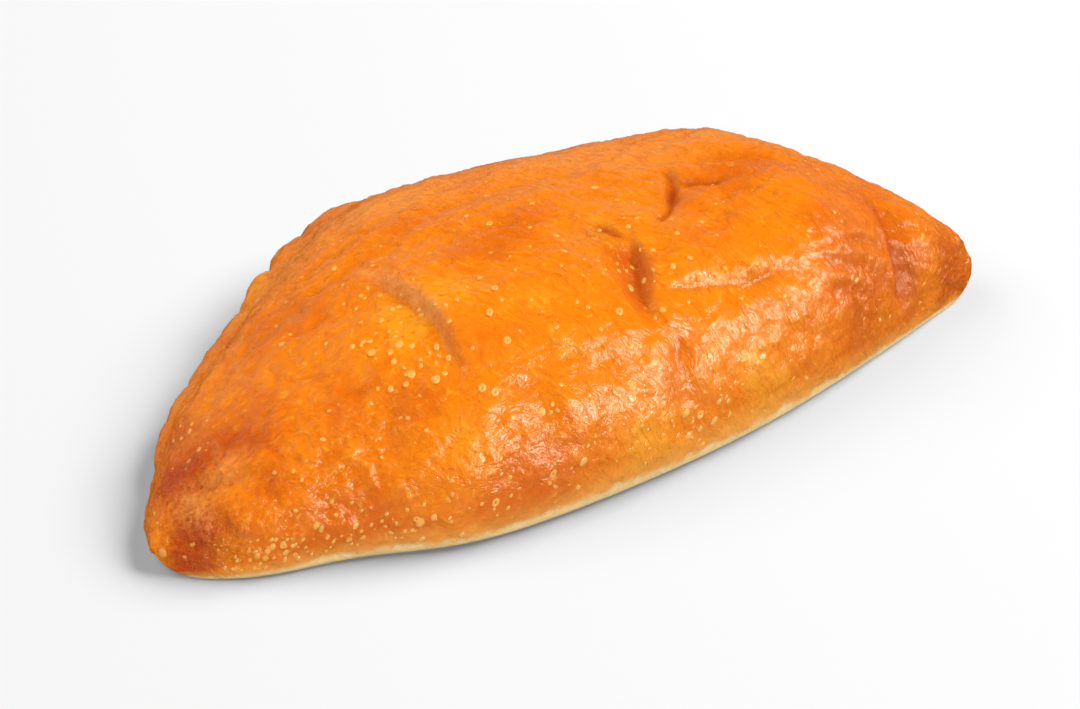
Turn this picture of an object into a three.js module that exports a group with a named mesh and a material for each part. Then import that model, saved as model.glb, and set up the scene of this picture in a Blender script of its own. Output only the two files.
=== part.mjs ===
import { Group, Mesh, MeshStandardMaterial, SphereGeometry, SplineCurve, Vector2 } from 'three';
import { mergeVertices } from 'three/addons/utils/BufferGeometryUtils.js';

// A baked calzone: one sheet of dough folded over its filling and crimped shut, whole and uncut.
// Millimetres, +Z up. The broad, well-browned tip is at -X, the snub tip at +X, the fold bulges
// towards -Y and the crimped seam runs along +Y. The middle of the flat underside is the origin.
// Plan positions below are measured from the line through the two tips, before that centring.

// Driving dimensions of the dough
const length = 200; // tip to tip
const foldReach = 28.6; // from the line through the tips out to the fold
const seamReach = 76.4; // from the same line out to the seam, before its lip
const height = 37; // at the top of the crown, before local swellings
const crownAcross = 0.37; // share of the width, from the fold, where the crown line runs
const bellyLevel = 0.3; // share of the height where the dough is widest
const cutDepth = 0.35; // the round underside is pressed flat this far up
const tip = { lift: 5.6, run: 9 }; // the blunt tips curl up off the table over this run

// How each measure grows from one tip to the other: powers of the way from the broad and snub tips
const foldBow = [0.76, 1.1];
const seamBow = [0.73, 0.64];
const heightBow = [0.54, 0.37];

// Local swellings of those measures: how much, where along the length, and how far they spread
const foldSwellings = [
  { rise: 0.5, at: 0.1, spread: 0.12 },
  { rise: -3.9, at: 0.18, spread: 0.084 },
  { rise: -1, at: 0.5, spread: 0.167 },
];
const seamSwellings = [
  { rise: 4.4, at: 0.38, spread: 0.09 },
  { rise: -4.9, at: 0.97, spread: 0.078 },
  { rise: -1.9, at: 0.19, spread: 0.05 },
  { rise: -0.9, at: 0.62, spread: 0.067 },
];
const heightSwellings = [
  { rise: 4.2, at: 0.785, spread: 0.066 },
  { rise: 1.9, at: 0.4, spread: 0.12 },
];

// Roundness of the cross section: powers across and up
const foldSide = { across: 2.58, up: 2.07 };
const seamSide = { across: 2.5, up: 1.94 };
const underside = { across: 22, up: 2.8 };

// The seam: a thick lip along the back and a groove above it, at these angles over the section, in
// degrees. The crimps are round lobes with narrow notches between them, strongest near the broad tip.
const lip = { angle: 10, spread: 13, rise: 1.7 };
const groove = { angle: 30, spread: 11, rise: -1.3 };
const crimp = { pitch: 14, rise: 1.2, gain: 1.5, at: 0.34, spread: 0.13, wander: 3, stray: 43 };
const notchSharpness = 0.7;
const crimpMean = 0.6; // mean height of the lobes, so that the crimps neither widen nor narrow the lip
const plainCrimp = 0.3; // share of the crimps' height left where they are weakest

// Folds, valleys and wrinkles pressed into the crust, each along a short path in plan. A fold has one
// width on its left and one on its right, looking along the path, so a narrow side makes a steep step.
const folds = [
  // The flap beside the left lobe, its steep edge facing the broad tip
  { path: [[-35, 36], [-33, 22], [-32, 8], [-34, -5], [-38, -15]], left: 12, right: 2.2, rise: 2.4 },
  // The valley in the middle of the top and the two steps that close its head
  { path: [[14, 14], [13.5, 6], [9.5, -3], [6.5, -11], [5, -20]], left: 6, right: 3.4, rise: -3 },
  { path: [[2, 22], [9, 16], [12, 7]], left: 2.6, right: 7, rise: -1.2 },
  { path: [[13, 6], [18, 11], [27, 17]], left: 7, right: 2.2, rise: 1.3 },
  // The small pinched fold behind the valley
  { path: [[37, 32], [35.5, 25], [31, 18], [29, 15]], left: 1.8, right: 1.6, rise: -1.6 },
  { path: [[38, 26], [35, 22], [32, 18], [28, 14], [22, 10.5]], left: 2.2, right: 1.8, rise: -1.7 },
  { path: [[35, 22.5], [39, 21], [44, 20], [49, 20]], left: 1.6, right: 2.6, rise: -1.5 },
  // A low ridge on the right half and the crease in front of it
  { path: [[10, -6], [20, -7], [31, -8], [46, -6]], left: 6, right: 4.5, rise: 1.6 },
  { path: [[11, -7.6], [15, -10.4], [27, -11.8], [38, -11.6], [48, -10]], left: 2, right: 3, rise: -1.6 },
  // The fold that runs over the snub tip and down its front
  { path: [[75, 12], [74.4, 2], [73, -6], [71, -12], [67, -28]], left: 5.5, right: 1.9, rise: -2.3 },
  // Soft troughs in the front shoulder
  { path: [[13, -16], [10, -23], [7, -29], [4, -34]], left: 3.2, right: 2.6, rise: -1.7 },
  { path: [[-28, -14], [-14, -16], [0, -20], [10, -25]], left: 4, right: 4, rise: -1.1 },
  { path: [[-24, -12], [-24, -19], [-22, -26], [-18, -33]], left: 4.5, right: 4, rise: -1.3 },
  // Wrinkles of the broad tip
  { path: [[-95, 12], [-88, 4], [-79, -2], [-70, -6]], left: 6, right: 2.4, rise: 1.3 },
  { path: [[-96, -3], [-89, -8], [-82, -12], [-74, -13]], left: 5, right: 2.4, rise: 1.1 },
  { path: [[-84, -10], [-81, -17], [-80, -26]], left: 2.4, right: 3, rise: -1.3 },
  // Wrinkles that follow the seam
  { path: [[-82, 20], [-62, 31], [-38, 36], [-24, 36]], left: 2.8, right: 2.8, rise: -0.9 },
  { path: [[-34, 36], [-8, 42], [26, 42]], left: 3, right: 3, rise: -0.8 },
  { path: [[26, 40], [48, 30], [70, 14]], left: 3, right: 3, rise: -1 },
];

// Rounded lobes and dents of the top
const lobes = [
  { at: [-43, 8], spread: 13, rise: 1.4 },
  { at: [-66, 4], spread: 11, rise: 1 },
  { at: [-8, 6], spread: 14, rise: 1 },
  { at: [28, 1], spread: 9, rise: 1 },
  { at: [56, -2], spread: 11, rise: 1.2 },
  { at: [-52, -12], spread: 8, rise: -1 },
  { at: [76, -7.5], spread: 4, rise: -1.2 },
  { at: [82, -8], spread: 5, rise: 0.9 },
  { at: [86, 0], spread: 6, rise: 0.8 },
  { at: [48, 22], spread: 9, rise: -1 },
  { at: [0, 30], spread: 10, rise: 0.8 },
];

// Fineness of the surface
const stepsAlong = 104;
const stepsAround = 42;
const tipCrowding = 0.5; // 1 crowds the cross sections at the tips as on a ball, 0 spaces them evenly
const topCrowding = 0.38; // leaves fewer faces for the underside
const pathSteps = 24;

const halfTurn = Math.PI;
const degree = halfTurn / 180;
const tipFade = 0.05; // share of the length over which swellings die out at a tip
const seamFade = 0.1; // the same for the lip and its groove
const foldFade = 0.3; // share of a fold over which it dies out at its ends
const topFade = 0.35; // height on the section where folds reach full depth
const probe = 0.02; // angle step that gives the outward direction
const atTip = 1e-6;

function bow(along, [broad, snub]) {
  const peak = broad / (broad + snub);
  return (along / peak) ** broad * ((1 - along) / (1 - peak)) ** snub;
}

function hill(distance, spread) {
  return Math.exp(-((distance / spread) ** 2));
}

function easeIn(share) {
  const t = Math.min(1, Math.max(0, share));
  return t * t * (3 - 2 * t);
}

function swell(along, swellings) {
  const fade = Math.min(1, along / tipFade, (1 - along) / tipFade);
  return fade * swellings.reduce((sum, s) => sum + s.rise * hill(along - s.at, s.spread), 0);
}

// How far the whole section is lifted near a tip, on a quarter of an ellipse
function tipLift(along) {
  const inwards = length * Math.min(along, 1 - along);
  const share = Math.max(0, 1 - inwards / tip.run);
  return tip.lift * (1 - Math.sqrt(1 - share ** 2));
}

// The bare cross section: a point across and up, for a turn that starts at the seam and rises over the top
function section(along, turn) {
  const fold = foldReach * bow(along, foldBow) + swell(along, foldSwellings);
  const seam = seamReach * bow(along, seamBow) + swell(along, seamSwellings);
  const top = height * bow(along, heightBow) + swell(along, heightSwellings);
  const crown = -fold + (fold + seam) * crownAcross;
  const belly = top * bellyLevel;
  const [c, s] = [Math.cos(turn), Math.sin(turn)];
  const side = c < 0 ? foldSide : seamSide;
  const power = s < 0 ? underside : side;
  const across = Math.abs(c) ** (2 / power.across);
  const up = Math.abs(s) ** (2 / power.up);
  const reach = c < 0 ? -(crown + fold) : seam - crown;
  const rise = s < 0 ? -belly : top - belly;
  return [crown + reach * across, belly + rise * up + tipLift(along)];
}

// The direction that points straight out of the cross section
function outward(along, turn) {
  const [y0, z0] = section(along, turn - probe);
  const [y1, z1] = section(along, turn + probe);
  const run = Math.hypot(y1 - y0, z1 - z0);
  return [(z1 - z0) / run, (y0 - y1) / run];
}

const routes = folds.map((fold) => {
  const curve = new SplineCurve(fold.path.map(([x, y]) => new Vector2(x, y)));
  return { ...fold, points: curve.getPoints(pathSteps) };
});

// How far a fold lifts the surface over one place in plan
function foldRise(route, x, y) {
  let nearest = { distance: Infinity, leftOf: true, share: 0 };
  for (let i = 0; i < pathSteps; i += 1) {
    const [a, b] = [route.points[i], route.points[i + 1]];
    const [runX, runY] = [b.x - a.x, b.y - a.y];
    const slide = ((x - a.x) * runX + (y - a.y) * runY) / (runX ** 2 + runY ** 2);
    const kept = Math.min(1, Math.max(0, slide));
    const [offX, offY] = [x - a.x - kept * runX, y - a.y - kept * runY];
    const distance = Math.hypot(offX, offY);
    if (distance < nearest.distance) {
      nearest = { distance, leftOf: runX * offY - runY * offX > 0, share: (i + kept) / pathSteps };
    }
  }
  const ends = easeIn(Math.min(nearest.share, 1 - nearest.share) / foldFade);
  return route.rise * ends * hill(nearest.distance, nearest.leftOf ? route.left : route.right);
}

function lobeRise(lobe, x, y) {
  return lobe.rise * hill(Math.hypot(x - lobe.at[0], y - lobe.at[1]), lobe.spread);
}

function seamRise(along, turn, x) {
  const angle = turn / degree;
  const fade = easeIn(Math.min(along, 1 - along) / seamFade);
  const stronger = (crimp.gain - 1) * hill(along - crimp.at, crimp.spread);
  const wandered = x + crimp.wander * Math.sin((2 * halfTurn * x) / crimp.stray);
  const lobed = Math.abs(Math.sin((halfTurn * wandered) / crimp.pitch)) ** notchSharpness;
  const wave = 2 * crimp.rise * (lobed - crimpMean) * (plainCrimp + stronger);
  const lipRise = (lip.rise * (1 + stronger) + wave) * hill(angle - lip.angle, lip.spread);
  return fade * (lipRise + groove.rise * (1 + stronger) * hill(angle - groove.angle, groove.spread));
}

function crustRise(along, turn, x, y) {
  const onTop = easeIn(Math.sin(turn) / topFade);
  const folded = routes.reduce((sum, route) => sum + foldRise(route, x, y), 0);
  const rounded = lobes.reduce((sum, lobe) => sum + lobeRise(lobe, x, y), 0);
  return onTop * (folded + rounded) + seamRise(along, turn, x);
}

// A ball of dough whose poles lie along X becomes the calzone, vertex by vertex
function doughGeometry() {
  const ball = new SphereGeometry(1, stepsAround, stepsAlong);
  ball.rotateZ(halfTurn / 2);
  ball.deleteAttribute('normal');
  ball.deleteAttribute('uv');
  const geometry = mergeVertices(ball);
  const place = geometry.getAttribute('position');
  for (let i = 0; i < place.count; i += 1) {
    const poleward = Math.min(1, Math.max(-1, place.getX(i)));
    const evenly = Math.acos(-poleward) / halfTurn;
    const along = (tipCrowding * (1 + poleward)) / 2 + (1 - tipCrowding) * evenly;
    const x = length * (along - 0.5);
    if (along < atTip || along > 1 - atTip) {
      place.setXYZ(i, x, 0, tip.lift);
      continue;
    }
    const ballTurn = Math.atan2(place.getZ(i), place.getY(i));
    const turn = ballTurn + topCrowding * Math.cos(ballTurn);
    const [y, z] = section(along, turn);
    const [outY, outZ] = outward(along, turn);
    const rise = crustRise(along, turn, x, y);
    place.setXYZ(i, x, y + rise * outY, Math.max(0, z + rise * outZ - cutDepth));
  }
  geometry.computeBoundingBox();
  const { min, max } = geometry.boundingBox;
  geometry.translate(-(min.x + max.x) / 2, -(min.y + max.y) / 2, -min.z);
  geometry.computeVertexNormals();
  return geometry;
}

const crust = new MeshStandardMaterial({ color: 0xe8891f, roughness: 0.42, metalness: 0 });
const calzone = new Mesh(doughGeometry(), crust);
calzone.name = 'calzone';

const group = new Group();
group.add(calzone);

export default group;
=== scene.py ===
import math

import bpy
import numpy as np
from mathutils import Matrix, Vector


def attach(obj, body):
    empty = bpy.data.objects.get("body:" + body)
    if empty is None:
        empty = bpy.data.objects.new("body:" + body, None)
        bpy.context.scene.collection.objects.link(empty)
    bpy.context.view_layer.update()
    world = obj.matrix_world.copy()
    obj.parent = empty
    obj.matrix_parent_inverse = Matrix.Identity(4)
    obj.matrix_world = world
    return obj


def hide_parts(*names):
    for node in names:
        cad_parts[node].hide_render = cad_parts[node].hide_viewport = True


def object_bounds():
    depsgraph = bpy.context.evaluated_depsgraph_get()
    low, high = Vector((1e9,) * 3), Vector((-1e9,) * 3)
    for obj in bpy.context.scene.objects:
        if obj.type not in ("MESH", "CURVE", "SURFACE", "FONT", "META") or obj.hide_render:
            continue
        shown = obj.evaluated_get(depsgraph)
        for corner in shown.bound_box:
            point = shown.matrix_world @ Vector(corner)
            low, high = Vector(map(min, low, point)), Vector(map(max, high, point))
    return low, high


# A baked calzone on a pale table. The scene is in metres. The dough's own sizes are in millimetres, and its
# plan positions are counted from the line through the two tips: +X to the snub tip, +Y to the crimped seam.

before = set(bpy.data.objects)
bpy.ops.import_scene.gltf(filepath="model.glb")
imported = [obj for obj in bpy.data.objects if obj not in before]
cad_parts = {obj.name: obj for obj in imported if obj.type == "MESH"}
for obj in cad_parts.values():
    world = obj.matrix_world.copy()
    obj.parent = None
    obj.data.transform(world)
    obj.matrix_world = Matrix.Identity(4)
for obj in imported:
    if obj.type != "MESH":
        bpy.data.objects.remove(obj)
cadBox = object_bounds()
mm = 0.001
print("frame loaded,", len(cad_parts), "node")


class Wire:
    # One output of a node. Arithmetic on it adds Math nodes.
    def __init__(self, sketch, node, out=0):
        self.sketch = sketch
        self.node = node
        self.socket = node.outputs[out] if node.outputs else None

    def of(self, out):
        # Another output of the same node
        return Wire(self.sketch, self.node, out)

    def math(self, operation, first, second):
        return self.sketch.math(operation, first, second)

    def __add__(self, other):
        return self.math("ADD", self, other)

    def __radd__(self, other):
        return self.math("ADD", other, self)

    def __sub__(self, other):
        return self.math("SUBTRACT", self, other)

    def __rsub__(self, other):
        return self.math("SUBTRACT", other, self)

    def __mul__(self, other):
        return self.math("MULTIPLY", self, other)

    def __rmul__(self, other):
        return self.math("MULTIPLY", other, self)

    def __truediv__(self, other):
        return self.math("DIVIDE", self, other)

    def __rtruediv__(self, other):
        return self.math("DIVIDE", other, self)

    def most(self, other):
        return self.math("MAXIMUM", self, other)

    def least(self, other):
        return self.math("MINIMUM", self, other)

    def off(self):
        return self.math("ABSOLUTE", self, 0)

    def rising(self, low, high):
        # 0 below low, 1 above high, with a soft passage
        values = {"Value": self, "From Min": low, "From Max": high}
        return self.sketch.node("ShaderNodeMapRange", {"interpolation_type": "SMOOTHSTEP"}, values)


class Sketch:
    # A node tree being drawn
    def __init__(self, tree):
        self.tree = tree

    def math(self, operation, first, second):
        return self.node("ShaderNodeMath", {"operation": operation}, {0: first, 1: second})

    def node(self, kind, settings=None, inputs=None, out=0):
        made = self.tree.nodes.new(kind)
        for name, value in (settings or {}).items():
            setattr(made, name, value)
        for name, value in (inputs or {}).items():
            if isinstance(value, (Wire, list)):
                for wire in value if isinstance(value, list) else [value]:
                    self.tree.links.new(wire.socket, made.inputs[name])
            else:
                made.inputs[name].default_value = value
        return Wire(self, made, out)

    def mix(self, amount, first, second):
        values = {0: amount, 6: first, 7: second}
        return self.node("ShaderNodeMix", {"data_type": "RGBA"}, values, out=2)

    def inMillimetres(self, vector):
        values = {0: vector, 1: (1 / mm, 1 / mm, 1 / mm)}
        return self.node("ShaderNodeVectorMath", {"operation": "MULTIPLY"}, values)

    def cloud(self, place, size, detail=2.0, roughness=0.5, distortion=0.0):
        # Noise whose features are about size wide, in the units of place
        values = {"Vector": place, "Scale": 1 / size, "Detail": detail, "Roughness": roughness,
                  "Distortion": distortion}
        return self.node("ShaderNodeTexNoise", {}, values)

    def cells(self, place, size):
        # Distance to the middle of the nearest cell, for cells about size wide
        return self.node("ShaderNodeTexVoronoi", {}, {"Vector": place, "Scale": 1 / size})


def newMaterial(name):
    material = bpy.data.materials.new(name)
    material.use_nodes = True
    material.node_tree.nodes.clear()
    return material, Sketch(material.node_tree)


def finishMaterial(draw, inputs):
    shader = draw.node("ShaderNodeBsdfPrincipled", {}, inputs)
    draw.node("ShaderNodeOutputMaterial", {}, {"Surface": shader})


def colour(red, green, blue):
    # From screen values 0 to 255 to the scene's linear light
    def linear(value):
        share = value / 255
        return share / 12.92 if share <= 0.04045 else ((share + 0.055) / 1.055) ** 2.4
    return (linear(red), linear(green), linear(blue), 1.0)


view = {
    "azimuth": -29.613,
    "elevation": 35.0,
    "distance": 0.7,
    "lens": 111.45,
    "clipStart": 0.02,
    "target": (-7.59, -19.86, 17.01),  # mm, in the part's frame
}


def directionFrom(azimuth, elevation):
    a, e = math.radians(azimuth), math.radians(elevation)
    return Vector((math.sin(a) * math.cos(e), -math.cos(a) * math.cos(e), math.sin(e)))


def addObject(name, data):
    made = bpy.data.objects.new(name, data)
    bpy.context.scene.collection.objects.link(made)
    return made


def addLooking(name, data, back):
    # A camera or lamp that looks against the direction back
    made = addObject(name, data)
    made.rotation_mode = "QUATERNION"
    made.rotation_quaternion = back.to_track_quat("Z", "Y")
    return made


def addCamera():
    back = directionFrom(view["azimuth"], view["elevation"])
    data = bpy.data.cameras.new("camera")
    data.lens = view["lens"]
    data.clip_start = view["clipStart"]
    camera = addLooking("camera", data, back)
    camera.location = Vector(view["target"]) * mm + back * view["distance"]
    bpy.context.scene.camera = camera


addCamera()
print("camera set")

dough = {
    "length": (cadBox[1].x - cadBox[0].x) / mm,
    "foldReach": 28.6,  # from the line through the tips to the fold
    "seamReach": 76.4,  # and to the seam
    "height": 37,
    "crownAcross": 0.37,  # where the crown stands, from the fold to the seam
    "bellyLevel": 0.3,  # where the section is widest, as a share of its height
    "cutDepth": 0.35,  # how much of the underside is cut off flat
    "tipLift": 5.6,  # how high the tips end
    "tipRun": 9,  # and over what length the underside rises
    "foldBow": (0.76, 1.1),  # powers of an outline at the broad and the snub tip
    "seamBow": (0.73, 0.64),
    "heightBow": (0.54, 0.37),
    "foldSwellings": [(0.5, 0.1, 0.12), (-3.9, 0.18, 0.084), (-1, 0.5, 0.167)],  # rise, at, spread
    "seamSwellings": [(4.4, 0.38, 0.09), (-4.9, 0.97, 0.078), (-1.9, 0.19, 0.05), (-0.9, 0.62, 0.067)],
    "heightSwellings": [(4.2, 0.785, 0.066), (1.9, 0.4, 0.12)],
    "foldSide": (2.58, 2.07),  # powers across and up
    "seamSide": (2.5, 1.94),
    "underside": (22, 2.8),
    "tipFade": 0.05,  # the swellings fade over this share of the length
    "topFade": 0.35,  # and the folds where the sides turn steep
    "rows": 396,
    "columns": 247,
    "tipCrowding": 0.5,  # 0 for even rows, 1 for the closest at the tips
    "undersideShare": 0.16,  # how finely the underside is divided, against 1 for the rest
    "spacedAt": 0.45,  # the section that sets how the columns are spaced
    "spacingSteps": 4001,
    "skinFoot": 1.0,  # height where the skin's relief starts
    "skinRun": 3.0,  # and over which it grows
    # the painted shade of a dent grows with its depth
    "fullHollow": 2.5,  # a dent this deep is coloured as a full hollow
}

# Angles in degrees up from the widest level, sizes in mm
seam = {
    "lipAngle": 10, "lipSpread": 13, "lipRise": 1.7,
    "grooveAngle": 30, "grooveSpread": 11, "grooveRise": -0.9,
    "crimpPitch": 14, "crimpRise": 1.2, "crimpGain": 1.5, "crimpAt": 0.34, "crimpSpread": 0.13,
    "wander": 3, "stray": 43, "notchSharpness": 0.7, "crimpMean": 0.6, "plainCrimp": 0.3,
    "fade": 0.1,
}

# Folds, creases, ridges and strands: a path in plan, the widths on its left and right, the rise, and
# how dark a line of painted shade is drawn along its crease
folds = [
    # the flap beside the left lobe, its steep face and the crease at its foot
    ([(-34.6, 35), (-32.4, 22), (-30.9, 8), (-32.6, -4), (-37, -15)], 11, 1.5, 2.3, 0),
    ([(-37, 32), (-35, 23), (-33.6, 13), (-32.6, 4), (-33.4, -3), (-35, -10)], 0.7, 1.6, -0.8, 0.35),
    ([(-33, 2), (-34.6, -8), (-36, -14)], 1.4, 3.4, -0.7, 0),
    # the valley in the middle, the steps that close its head, and its deepest crease
    ([(16.4, 14), (15, 6), (12, -2), (9.4, -9), (8, -18)], 1.6, 5, -2.5, 0),
    ([(16.6, 12), (15.4, 6), (13.2, 1), (10.8, -4.5), (9.6, -11)], 0.7, 1.6, -1, 0.6),
    ([(11.6, 17.5), (13.4, 12.6), (15, 9)], 0.7, 0.9, -0.6, 0.9),
    ([(2, 22), (9, 16), (12, 7)], 2.6, 7, -1.2, 0),
    ([(13, 6), (18, 11), (27, 17)], 7, 2, 1.3, 0),
    # the small pinched fold behind the valley
    ([(37.7, 33), (36.6, 26.4), (33.4, 21.8), (30, 17.4)], 0.9, 1.2, -1.5, 0.8),
    ([(38, 27), (35, 22.6), (32, 18.6), (28, 14.4), (22, 11)], 1.8, 0.9, -1.7, 0.7),
    ([(36.4, 25.4), (39.5, 23.6), (43, 21.4), (48, 20.6)], 0.8, 2.2, -1.4, 0.8),
    # a low ridge on the right half and the crease in front of it
    ([(11, -4), (21, -5), (31, -7), (46, -5)], 6, 2.8, 1.3, 0),
    ([(11, -6.6), (15, -8), (23, -9), (32, -10.3), (40, -9.9), (48, -8)], 1.1, 2.6, -1.2, 0.35),
    ([(35, 4.4), (38, 4.7), (41.2, 5.4), (44.9, 3.6), (48, 3)], 0.9, 0.9, 0.5, 0),
    # the fold that runs over the snub tip and down its front
    ([(75.6, 12), (75.2, 4), (74.6, -2), (74, -6.4), (73.8, -10), (72.4, -16), (70, -26)],
     4.5, 1.2, -2.3, 0.7),
    ([(51, -9.8), (60.4, -10.1), (71.2, -7.9)], 0.9, 1.3, -0.6, 0.25),
    ([(46.8, -11.8), (55.4, -13.2), (68.2, -10.7)], 0.8, 1.2, -0.55, 0.25),
    ([(57, -7.8), (65.9, -5.5), (72.6, -5.9)], 0.8, 1.2, -0.6, 0.3),
    ([(44, -15), (52, -15.5), (62, -13.7)], 0.9, 1.2, -0.45, 0),
    ([(62.8, -11.4), (69, -9.6), (72.6, -10.1)], 0.8, 1.1, -0.6, 0.4),
    ([(60, -9), (67, -7.6), (73, -7)], 0.7, 0.8, 0.45, 0),
    ([(72, -3), (76, -3.6), (81, -4.4)], 0.9, 1, 0.8, 0),
    ([(59, -13), (59.4, -15.5), (60, -18)], 0.8, 0.7, -0.7, 0.7),
    # soft troughs and a ridge in the front shoulder
    ([(13, -14), (11, -20), (9, -26), (5, -32)], 4, 2.8, -1.2, 0),
    ([(14, -17), (10.6, -20), (10, -24)], 1.6, 1.3, -0.4, 0.3),
    ([(-28, -14), (-14, -16), (0, -20), (10, -25)], 4, 4, -1.1, 0),
    ([(-24, -12), (-24, -19), (-22, -26), (-18, -33)], 4.5, 4, -1.3, 0),
    ([(-16, -18), (-18, -22), (-20, -26), (-23, -31)], 6, 2.6, 0.7, 0),
    ([(-29, -25), (-26.5, -28.6), (-22, -31)], 0.9, 0.9, 0.45, 0),
    # wrinkles of the broad tip
    ([(-95, 12), (-88, 5), (-79, -1), (-70, -6)], 6, 2, 1.4, 0),
    ([(-92, 8), (-87, 1.6), (-82, -2), (-77, -4)], 1, 1.4, -0.7, 0.4),
    ([(-96, -2), (-89, -7), (-83, -11.6), (-76, -13)], 5, 1.8, 1.2, 0),
    ([(-90, -5.5), (-86.5, -9.4), (-82, -13)], 0.8, 1.2, -0.6, 0.4),
    ([(-84, -10), (-81, -17), (-80, -26)], 2.4, 3, -1.2, 0),
    ([(-82, -12), (-79.5, -15), (-77.5, -18)], 0.9, 0.8, 0.6, 0),
    ([(-75, 0), (-73, -3), (-73.6, -7)], 0.7, 0.8, -0.5, 0.35),
    ([(-79, -7), (-77, -10), (-76.6, -13)], 0.7, 0.8, -0.5, 0),
    # strands drawn out over the broad third
    ([(-61, -4), (-59.4, -13), (-57.4, -22)], 0.8, 0.9, 0.4, 0),
    ([(-64, 0), (-62, -9), (-60, -16)], 0.8, 0.8, 0.35, 0),
    ([(-56, -8), (-55.6, -15), (-56.6, -21)], 0.8, 0.8, 0.35, 0),
    ([(-55, -17), (-53.2, -21.5), (-51.6, -25)], 0.7, 0.8, 0.4, 0),
    ([(-70, 4), (-67, -5), (-65, -12)], 1, 1.2, -0.4, 0),
    # wrinkles that follow the seam
    ([(-82, 20), (-62, 31), (-38, 36), (-24, 36)], 2.4, 2.8, -0.9, 0),
    ([(-74, 28), (-56, 39), (-36, 45), (-16, 46)], 1.4, 2, -0.6, 0),
    ([(-34, 36), (-8, 42), (26, 42)], 3, 3, -0.8, 0),
    ([(26, 40), (48, 30), (70, 14)], 3, 3, -1, 0),
]
foldFade = 0.3  # a fold softens towards its ends over this share of its length
feltWithin = 3.2  # and is felt this many widths away
# width of the painted shade along a crease
markWidth = 0.75

# Rounded lobes and dents: where, how wide, how high
lobes = [
    (-43, 8, 13, 1.4), (-66, 4, 11, 1), (-8, 6, 14, 1), (28, 1, 9, 1), (56, -2, 11, 1.2),
    (-52, -12, 8, -1), (76, -7.5, 3.4, -1.2), (82, -8, 5, 0.9), (86, 0, 6, 0.8),
    (48, 22, 9, -1), (0, 30, 10, 0.8), (96, 1.2, 1.4, 0.7),
    (77.9, 2.8, 0.9, -0.6), (68.5, 12.9, 1, -0.5), (64.9, 21.5, 1.1, -0.6), (53.4, -13.9, 0.8, -0.6),
    (-19.3, -8, 5, -0.6), (-29, -7, 6, -0.5), (-17, 12, 5, -0.4), (-6, -14, 7, 0.7),
]


def bow(along, powers):
    # An outline from 0 at the tips to 1 at its peak
    broad, snub = powers
    peak = broad / (broad + snub)
    return (along / peak) ** broad * ((1 - along) / (1 - peak)) ** snub


def hill(distance, spread):
    # 1 at no distance, and almost 0 at twice the spread
    return np.exp(-((distance / spread) ** 2))


def easeIn(share):
    # From 0 to 1 with soft ends
    t = np.clip(share, 0, 1)
    return t * t * (3 - 2 * t)


def swell(along, swellings):
    fade = np.minimum(1, np.minimum(along, 1 - along) / dough["tipFade"])
    return fade * sum(rise * hill(along - at, spread) for rise, at, spread in swellings)


def tipLift(along):
    inwards = dough["length"] * np.minimum(along, 1 - along)
    share = np.maximum(0, 1 - inwards / dough["tipRun"])
    return dough["tipLift"] * (1 - np.sqrt(1 - share**2))


def section(along, turn):
    # The bare cross section: across and up, for a turn that starts at the seam and rises over the top
    fold = dough["foldReach"] * bow(along, dough["foldBow"]) + swell(along, dough["foldSwellings"])
    back = dough["seamReach"] * bow(along, dough["seamBow"]) + swell(along, dough["seamSwellings"])
    top = dough["height"] * bow(along, dough["heightBow"]) + swell(along, dough["heightSwellings"])
    crown = -fold + (fold + back) * dough["crownAcross"]
    belly = top * dough["bellyLevel"]
    c, s = np.cos(turn), np.sin(turn)
    powers = zip(dough["underside"], dough["foldSide"], dough["seamSide"])
    across, up = [np.where(s < 0, under, np.where(c < 0, front, rear)) for under, front, rear in powers]
    reach = np.where(c < 0, -(crown + fold), back - crown)
    rise = np.where(s < 0, -belly, top - belly)
    y = crown + reach * np.abs(c) ** (2 / across)
    z = belly + rise * np.abs(s) ** (2 / up) + tipLift(along)
    return y, z


def outward(along, turn):
    # The direction straight out of the section
    probe = 0.02
    y0, z0 = section(along, turn - probe)
    y1, z1 = section(along, turn + probe)
    run = np.hypot(y1 - y0, z1 - z0) + 1e-9
    return (z1 - z0) / run, (y0 - y1) / run


def smoothPath(path, steps=8):
    # A curve through the points of a path
    points = np.array(path, float)
    ends = np.vstack([2 * points[0] - points[1], points, 2 * points[-1] - points[-2]])
    t = np.linspace(0, 1, steps, endpoint=False)[:, None]
    made = []
    for a, b, c, d in zip(ends, ends[1:], ends[2:], ends[3:]):
        curve = 2 * b + (c - a) * t + (2 * a - 5 * b + 4 * c - d) * t**2 + (3 * b - a - 3 * c + d) * t**3
        made.append(curve / 2)
    return np.vstack(made + [points[-1:]])


def nearPath(path, x, y):
    # Distance to a path, whether a place is left of it, and the share of the way along it
    points = smoothPath(path)
    runs = np.diff(points, axis=0)
    lengths = np.hypot(runs[:, 0], runs[:, 1])
    before = np.concatenate([[0], np.cumsum(lengths)])
    distance = np.full(x.shape, np.inf)
    leftOf = np.zeros(x.shape, bool)
    share = np.zeros(x.shape)
    for (ax, ay), (runX, runY), span, start in zip(points, runs, lengths, before):
        slide = np.clip(((x - ax) * runX + (y - ay) * runY) / span**2, 0, 1)
        offX, offY = x - ax - slide * runX, y - ay - slide * runY
        gap = np.hypot(offX, offY)
        nearer = gap < distance
        distance = np.where(nearer, gap, distance)
        leftOf = np.where(nearer, runX * offY - runY * offX > 0, leftOf)
        share = np.where(nearer, (start + slide * span) / before[-1], share)
    return distance, leftOf, share


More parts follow.
